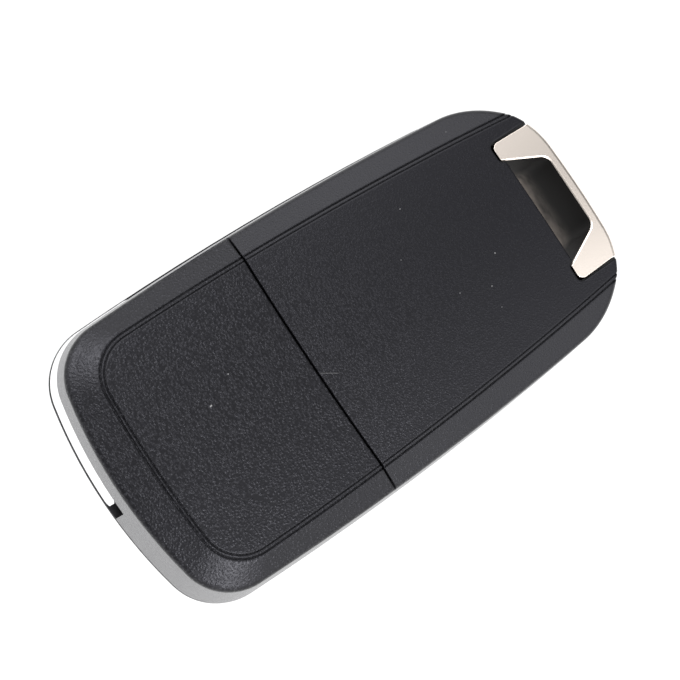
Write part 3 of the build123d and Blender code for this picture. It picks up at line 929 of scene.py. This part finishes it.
@dataclass(frozen=True)
class SmallScrew:
    """A small pan-head screw with a pressed cross and a rolled thread.

    The cross's span is a share of the head's radius, and its depth and the rounding are shares
    of the head's height. The tapers are the shares of the width that are left at the foot.
    """

    head_r_mm: float
    head_mm: float
    thread_r_mm: float
    length_mm: float
    pitch_mm: float = 0.5
    thread_depth_mm: float = 0.12
    cross_mm: float = 0.4
    cross_span: float = 1.1
    cross_depth: float = 0.65
    cross_taper: float = 0.45
    rounding: float = 0.6
    rounding_steps: int = 6
    head_sides: int = 48
    shank_sides: int = 32
    tip_taper: float = 0.5

    def build(self, name: str, seats_mm: Sequence[Point]) -> Piece:
        """Models one screw, copies it to each seat and joins the copies.

        Args:
            name: The piece's name.
            seats_mm: Where the undersides of the heads are.

        Returns:
            The screws as one piece.
        """
        head = self._head()
        self._cut_cross(head)
        model = settle("small_screw", head, self._shank(), self._thread())
        screws = [copy_to(model, Vector(seat) * MM) for seat in seats_mm]
        bpy.data.objects.remove(model)
        return settle(name, *screws)

    def _head(self) -> Piece:
        """Models the head: a disc with a well rounded top edge.

        Returns:
            The head.
        """
        head = begin(
            bpy.ops.mesh.primitive_cylinder_add,
            vertices=self.head_sides,
            radius=self.head_r_mm * MM,
            depth=self.head_mm * MM,
            location=(0.0, 0.0, self.head_mm / 2 * MM),
        )
        top = self.head_mm * MM
        choose(head, lambda corner: abs(corner.z - top) < CLOSE, "EDGE")
        bpy.ops.mesh.bevel(
            offset=self.rounding * top, segments=self.rounding_steps, affect="EDGES"
        )
        bpy.ops.object.mode_set(mode="OBJECT")
        return head

    def _cut_cross(self, head: Piece) -> None:
        """Cuts a cross with leaning walls into the head.

        Args:
            head: The head.
        """
        top = self.head_mm * MM
        depth = self.cross_depth * top
        for turn in (0.0, math.pi / 2):
            cutter = begin(
                bpy.ops.mesh.primitive_cube_add,
                size=1.0,
                location=(0.0, 0.0, top),
                rotation=(0.0, 0.0, turn),
                scale=(self.cross_span * self.head_r_mm * MM, self.cross_mm * MM, 2 * depth),
            )
            choose(cutter, lambda corner: corner.z < top)
            bpy.ops.transform.resize(
                value=(self.cross_taper, self.cross_taper, 1.0), center_override=(0.0, 0.0, 0.0)
            )
            bpy.ops.object.mode_set(mode="OBJECT")
            pick(head)
            cut = head.modifiers.new("cross", "BOOLEAN")
            cut.operation = "DIFFERENCE"
            cut.solver = "EXACT"
            cut.object = cutter
            bpy.ops.object.modifier_apply(modifier=cut.name)
            bpy.data.objects.remove(cutter)

    def _shank(self) -> Piece:
        """Models the shank: the thread's core with a tapered tip.

        Returns:
            The shank.
        """
        tip = self.pitch_mm * MM
        straight = self.length_mm * MM - tip
        shank = begin(
            bpy.ops.mesh.primitive_cylinder_add,
            vertices=self.shank_sides,
            radius=(self.thread_r_mm - self.thread_depth_mm) * MM,
            depth=straight,
            location=(0.0, 0.0, -straight / 2),
        )
        choose(shank, lambda corner: abs(corner.z + straight) < CLOSE, "FACE")
        bpy.ops.mesh.extrude_region_move(TRANSFORM_OT_translate={"value": (0.0, 0.0, -tip)})
        bpy.ops.transform.resize(
            value=(self.tip_taper, self.tip_taper, 1.0), center_override=(0.0, 0.0, 0.0)
        )
        bpy.ops.object.mode_set(mode="OBJECT")
        return shank

    def _thread(self) -> Piece:
        """Winds the ridge, from half a pitch above the tip to 1.5 pitches below the head.

        Returns:
            The ridge.
        """
        ridge = Winding(
            profile_r_mm=self.thread_depth_mm,
            coil_r_mm=self.thread_r_mm - self.thread_depth_mm,
            height_mm=self.length_mm - 2 * self.pitch_mm,
            pitch_mm=self.pitch_mm,
            sides=3,
            steps_per_turn=24,
        )
        return ridge.build(Vector((0.0, 0.0, (self.pitch_mm / 2 - self.length_mm) * MM)))


@dataclass(frozen=True)
class Housing:
    """The moulded shell: rear case, battery cover, side walls and front case.

    The marks are dust and a fine scratch, where the photograph shows them.
    """

    cover_marks: tuple[Mark, ...] = (
        Mark(-16.79, 4.61, 0.11),
        Mark(-20.74, 2.52, 0.13, length_mm=0.15, turn_deg=15.0),
    )
    case_marks: tuple[Mark, ...] = (
        Mark(20.46, -1.3, 0.11),
        Mark(17.68, -4.54, 0.1),
        Mark(13.62, -3.01, 0.08),
        Mark(17.26, -7.43, 0.07),
        Mark(13.28, 9.94, 0.09),
        Mark(9.59, 4.53, 0.07),
        Mark(24.65, 15.01, 0.08),
        Mark(-6.2, -2.2, 0.06, length_mm=2.2, turn_deg=-33.1, strength=0.2),
    )
    case_fade_mm: tuple[float, float] = (-16.0, 24.0)
    edge_mm: float = 0.3
    slot_mm: tuple[float, float] = (22.0, 10.7)

    def build(self) -> None:
        """Dresses the housing."""
        # ABS from a coarse spark-eroded tool: near black, with painted highlights on the pebble
        # tops
        cover = MouldedGrain(
            "black_abs_coarse_grain", "030304", "0f0f12", Grain.COARSE, 0.04, 0.3,
            specular=0.36, edge_mm=self.edge_mm, marks=self.cover_marks,
        )
        # ABS from a finer tool: the same black; its grain's bump and painted highlights fade
        # towards the ring end
        case = MouldedGrain(
            "black_abs_medium_grain", "030304", "17171a", Grain.MEDIUM, 0.032, 0.27,
            fade_mm=self.case_fade_mm, edge_mm=self.edge_mm, marks=self.case_marks,
            slot_mm=self.slot_mm,
        )
        # Satin ABS, hardly grained: it mirrors the table, so the walls look grey, with faint
        # painted highlights on the grain
        wall = MouldedGrain(
            "black_abs_satin", "08080a", "222224", Grain.FINE, 0.01, 0.22, specular=1.0,
            slot_mm=self.slot_mm,
        )
        # Soft-touch paint: dull, so the rim stays a dark line
        rim = MouldedGrain(
            "soft_touch_black_paint", "0a0a0b", "131314", Grain.FINE, 0.003, 0.55,
            specular=0.25, contrast=0.5,
        )
        dress(cover.build(), "battery_cover")
        dress(case.build(), "rear_case")
        dress(wall.build(), "middle_frame")
        dress(rim.build(), "front_case")


@dataclass(frozen=True)
class ShadeStrips:
    """Dark strips of painted shade, in the joints between the bracket's ears and the case."""

    start_mm: float = 28.4
    end_top_mm: float = 33.95
    end_foot_mm: float = 35.1
    wall_mm: float = 10.62
    strip_inner_mm: float = 10.36
    strip_taper_mm: float = 0.15
    foot_mm: float = 0.6
    top_mm: float = 15.6
    edge_mm: float = 0.05

    def build(self) -> Piece:
        """Models one strip and its mirror image.

        Returns:
            The strips as one piece.
        """
        low = (self.start_mm, self.strip_inner_mm, self.foot_mm)
        high = (self.end_top_mm, self.wall_mm, self.top_mm)
        strip = begin(
            bpy.ops.mesh.primitive_cube_add,
            size=1.0,
            location=tuple((a + b) / 2 * MM for a, b in zip(low, high)),
            scale=tuple((b - a) * MM for a, b in zip(low, high)),
        )
        self._move_end(strip, 1, self.strip_inner_mm, (0.0, -self.strip_taper_mm * MM, 0.0))
        self._move_end(strip, 2, self.foot_mm, ((self.end_foot_mm - self.end_top_mm) * MM, 0.0, 0.0))
        bpy.ops.object.mode_set(mode="EDIT")
        bpy.ops.mesh.select_all(action="SELECT")
        bpy.ops.mesh.bevel(offset=self.edge_mm * MM, segments=2, affect="EDGES")
        bpy.ops.object.mode_set(mode="OBJECT")
        return settle("slot_shade_strips", strip, copy_to(strip, Vector(), (1.0, -1.0, 1.0)))

    def _move_end(self, strip: Piece, axis: int, level_mm: float, way: Point) -> None:
        """Moves the corners at the strip's outer end that lie at one level.

        Args:
            strip: The strip.
            axis: The axis that the level is measured on.
            level_mm: The level.
            way: The move, in metres.
        """
        start, level = self.start_mm * MM, level_mm * MM
        choose(strip, lambda corner: corner.x > start + CLOSE and abs(corner[axis] - level) < CLOSE)
        bpy.ops.transform.translate(value=way)
        bpy.ops.object.mode_set(mode="OBJECT")


@dataclass(frozen=True)
class RingEnd:
    """The metal loop for the key ring, and the strips of painted shade beside it."""

    loop_top_mm: float = 15.8
    loop_end_mm: float = 34.0
    loop_lean: float = 0.488
    loop_reach_mm: float = 21.92
    shade_strips: ShadeStrips = ShadeStrips()

    def build(self) -> None:
        """Dresses the bracket, and models the strips of painted shade."""
        # Satin nickel on cast zinc: warm and near white, with painted shade and painted light
        # inside the loop
        bracket = SatinBracket(
            "satin_nickel_on_zinc", "eae0d7", "120e0c", "9a9088", self.loop_top_mm,
            self.loop_end_mm, self.loop_lean, self.loop_reach_mm,
        )
        dress(bracket.build(), "keyring_bracket")
        # Matt black: a strip of painted shade, so that the joint reads as a dark line
        painted_shade_black = SmoothPlastic("matt_black_painted_shade", "070708", 0.9, wave_mm=1.5, edge_mm=0.04)
        finish(self.shade_strips.build(), painted_shade_black.build(), "case")


@dataclass(frozen=True)
class BladeUnit:
    """The blade with its head, the bright trim, the spring and the release button."""

    fold_deg: float = -2.3
    hub_mm: tuple[float, float] = (-25.05, 8.4)
    spring: Winding = Winding(
        profile_r_mm=0.25,
        coil_r_mm=4.05,
        height_mm=3.3,
        pitch_mm=1.4,
        sides=16,
        steps_per_turn=40,
    )
    spring_low_mm: float = 2.95
    spring_top_mm: float = 6.5
    spring_pressed: float = 0.41
    hub_screw: SmallScrew = SmallScrew(
        head_r_mm=1.8, head_mm=0.75, thread_r_mm=0.9, length_mm=2.6
    )
    hub_seat_mm: float = 9.57

    def build(self) -> None:
        """Dresses the blade unit, and models its spring and its screw."""
        # Bright chrome on the trim and the button: a mirror of the light tent
        chrome = Metal("bright_chrome", "fafafb", 0.08, (6.0, 6.0, 6.0), 0.001)
        dress(chrome.build(), "head_trim", "release_button")
        # Nickel-plated steel, ground along its length: a satin streak
        blade = Metal(
            "ground_nickel_plated_steel", "c9c7c2", 0.28, (8.0, 0.08, 0.08), 0.004, self.fold_deg
        )
        dress(blade.build(), "key_blade")
        # Black stoved paint on zinc: dark, with a soft highlight
        dress(SmoothPlastic("black_paint_on_zinc", "18181a", 0.35).build(), "blade_head")
        dress(BRIGHT_ZINC.build(), "blade_pin", "hub_cap")
        screw = self.hub_screw.build("cap_screw", [(*self.hub_mm, self.hub_seat_mm)])
        finish(screw, BRIGHT_ZINC.build(), "blade", "hub_screw")
        # Drawn spring wire: dull grey with fine die marks
        wire = Metal("drawn_spring_wire", "8d8e90", 0.3, (0.1, 0.1, 0.1), 0.002)
        foot = Vector((*self.hub_mm, self.spring_low_mm)) * MM
        coil = settle("throw_spring", self.spring.build(foot))
        finish(coil, wire.build(), "blade", "flip_spring")
        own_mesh(coil)


@dataclass(frozen=True)
class CaseScrews:
    """The two screws under the battery cover, which hold the rear case."""

    screw: SmallScrew = SmallScrew(head_r_mm=1.2, head_mm=0.6, thread_r_mm=0.7, length_mm=3.6)
    seats_mm: tuple[Point, ...] = ((-9.3, 14.2, 12.5), (-9.3, -15.6, 12.5))

    def build(self) -> None:
        """Models the screws."""
        screws = self.screw.build("rear_case_screws", self.seats_mm)
        finish(screws, BRIGHT_ZINC.build(), "case", "case_screws")


@dataclass(frozen=True)
class Keypad:
    """The gloss plate, the four plain keys and the mat behind them."""

    keys: tuple[str, ...] = ("lock_button", "unlock_button", "boot_button", "alert_button")

    def build(self) -> None:
        """Dresses the keypad."""
        # Polished ABS: a deep black mirror
        dress(SmoothPlastic("gloss_black_abs", "0b0b0c", 0.12, coat=0.5).build(), "button_bezel")
        # Satin moulded keys: black, with a fine skin that breaks up the highlight
        key = SmoothPlastic("satin_black_key", "17171a", 0.42, wave_mm=0.3, depth_mm=0.006)
        dress(key.build(), *self.keys)
        # Grey silicone: matt and soft
        dress(SmoothPlastic("grey_silicone", "9a9a98", 0.6, ior=1.41).build(), "keypad_mat")


@dataclass(frozen=True)
class Softbox:
    """A lamp behind white cloth that looks at the part."""

    name: str
    azimuth_deg: float
    elevation_deg: float
    distance_mm: float
    size_mm: tuple[float, float]
    brightness: float

    def build(self) -> None:
        """Hangs the lamp; its power comes from its brightness and its size."""
        around, up = math.radians(self.azimuth_deg), math.radians(self.elevation_deg)
        level = math.cos(up)
        way = Vector((level * math.cos(around), level * math.sin(around), math.sin(up)))
        data = bpy.data.lights.new(self.name, "AREA")
        data.shape = "RECTANGLE"
        data.size, data.size_y = (side * MM for side in self.size_mm)
        data.energy = self.brightness * math.pi * data.size * data.size_y
        lamp = bpy.data.objects.new(self.name, data)
        lamp.location = way * self.distance_mm * MM
        lamp.rotation_mode = "QUATERNION"
        lamp.rotation_quaternion = (-way).to_track_quat("-Z", "Y")
        bpy.context.scene.collection.objects.link(lamp)


@dataclass(frozen=True)
class Studio:
    """A white tent and table, the soft boxes, and the camera at the photograph's angle.

    The tent's sides and overhead are brightnesses. Its ends and its foot are the shares that
    are left there. A span is the stretch of a direction's X, Y or Z over which it changes.
    """

    tilt_deg: float = 15.0
    roll_deg: float = 33.8
    view_deg: float = 18.34
    aim_mm: Point = (-2.75, 0.465, 16.5)
    distance_mm: float = 260.0
    clip_mm: tuple[float, float] = (10.0, 10000.0)
    sensor_mm: float = 36.0
    table_mm: float = 3000.0
    table_gap_mm: float = 0.02
    table_glow: float = 0.8
    overhead: float = 0.5
    blade_side: float = 3.0
    blade_span: tuple[float, float] = (0.0, 0.62)
    far_side: float = 2.6
    far_span: tuple[float, float] = (0.1, -0.46)
    ends: float = 0.3
    ring_span: tuple[float, float] = (0.3, 0.65)
    pivot_span: tuple[float, float] = (-0.7, -0.98)
    foot: float = 0.25
    foot_span: tuple[float, float] = (0.02, 0.22)
    boxes: tuple[Softbox, ...] = (
        Softbox("far_corner_box", -119.0, 44.0, 500.0, (220.0, 190.0), 17.0),
        Softbox("blade_corner_box", 116.0, 43.0, 500.0, (200.0, 180.0), 11.0),
    )

    def camera(self) -> None:
        """Places the camera: tilted to the pivot end, and rolled so that +X points up right."""
        tilt, roll = math.radians(self.tilt_deg), math.radians(self.roll_deg)
        back = Vector((-math.sin(tilt), 0.0, math.cos(tilt)))
        along = Vector((math.cos(tilt), 0.0, math.sin(tilt)))
        across = Vector((0.0, 1.0, 0.0))
        right = along * math.cos(roll) - across * math.sin(roll)
        up = along * math.sin(roll) + across * math.cos(roll)
        data = bpy.data.cameras.new("camera")
        data.sensor_width = self.sensor_mm
        data.lens = self.sensor_mm / 2 / math.tan(math.radians(self.view_deg) / 2)
        data.clip_start, data.clip_end = (clip * MM for clip in self.clip_mm)
        camera = bpy.data.objects.new("camera", data)
        place = (Vector(self.aim_mm) + back * self.distance_mm) * MM
        turn = Matrix((right, up, back)).transposed().to_4x4()
        camera.matrix_world = Matrix.Translation(place) @ turn
        bpy.context.scene.collection.objects.link(camera)
        bpy.context.scene.camera = camera

    def tent(self) -> None:
        """A cloth tent lit from both long sides, darker overhead, at its ends and at its foot."""
        world = bpy.data.worlds.new("light_tent")
        world.use_nodes = True
        tree = world.node_tree
        tree.nodes.clear()
        heading = add_node(tree, "ShaderNodeTexCoord").outputs["Generated"]
        x, y, z = add_node(tree, "ShaderNodeSeparateXYZ", {}, {0: heading}).outputs
        blade, far, ring, pivot, foot = (
            add_node(
                tree,
                "ShaderNodeMapRange",
                {"interpolation_type": "SMOOTHSTEP"},
                {
                    "Value": part,
                    "From Min": span[0],
                    "From Max": span[1],
                    "To Min": start,
                    "To Max": end,
                },
            )
            for part, span, start, end in (
                (y, self.blade_span, 0.0, self.blade_side),
                (y, self.far_span, 0.0, self.far_side),
                (x, self.ring_span, 1.0, self.ends),
                (x, self.pivot_span, 1.0, self.ends),
                (z, self.foot_span, self.foot, 1.0),
            )
        )
        strength = blade
        for more in (far, self.overhead):
            strength = add_node(
                tree, "ShaderNodeMath", {"operation": "ADD"}, {0: strength, 1: more}
            )
        for share in (ring, pivot, foot):
            strength = add_node(
                tree, "ShaderNodeMath", {"operation": "MULTIPLY"}, {0: strength, 1: share}
            )
        back = add_node(
            tree, "ShaderNodeBackground", {}, {"Color": colour("ffffff"), "Strength": strength}
        )
        add_node(tree, "ShaderNodeOutputWorld", {}, {"Surface": back})
        bpy.context.scene.world = world

    def table(self) -> None:
        """A white table that keeps a faint shadow, and shows white in metal too."""
        table = begin(
            bpy.ops.mesh.primitive_plane_add,
            size=self.table_mm * MM,
            location=(0.0, 0.0, -self.table_gap_mm * MM),
        )
        table.name = "table"
        material, tree, _ = new_tree("white_table")
        matt = add_node(tree, "ShaderNodeBsdfDiffuse", {}, {"Color": colour("f4f4f4")})
        glow = add_node(
            tree, "ShaderNodeEmission", {}, {"Color": colour("ffffff"), "Strength": 1.0}
        )
        ray = add_node(tree, "ShaderNodeLightPath").outputs
        seen = ray["Is Camera Ray"]
        for other in (ray["Is Glossy Ray"], ray["Is Transmission Ray"]):
            seen = add_node(tree, "ShaderNodeMath", {"operation": "MAXIMUM"}, {0: seen, 1: other})
        share = add_node(
            tree, "ShaderNodeMath", {"operation": "MULTIPLY"}, {0: seen, 1: self.table_glow}
        )
        mixed = add_node(tree, "ShaderNodeMixShader", {}, {0: share, 1: matt, 2: glow})
        add_node(tree, "ShaderNodeOutputMaterial", {}, {"Surface": mixed})
        table.data.materials.append(material)

    def build(self) -> None:
        """Sets up the whole studio."""
        self.tent()
        self.table()
        for box in self.boxes:
            box.build()
        self.camera()
        bpy.context.scene.view_settings.view_transform = "Standard"


def main() -> None:
    """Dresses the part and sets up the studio."""
    logging.basicConfig(level=logging.INFO, format="%(message)s")
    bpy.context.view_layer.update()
    for assembly in (Housing(), RingEnd(), BladeUnit(), CaseScrews(), Keypad(), Studio()):
        assembly.build()
        log.info("%s done", type(assembly).__name__)


if __name__ == "__main__":
    main()
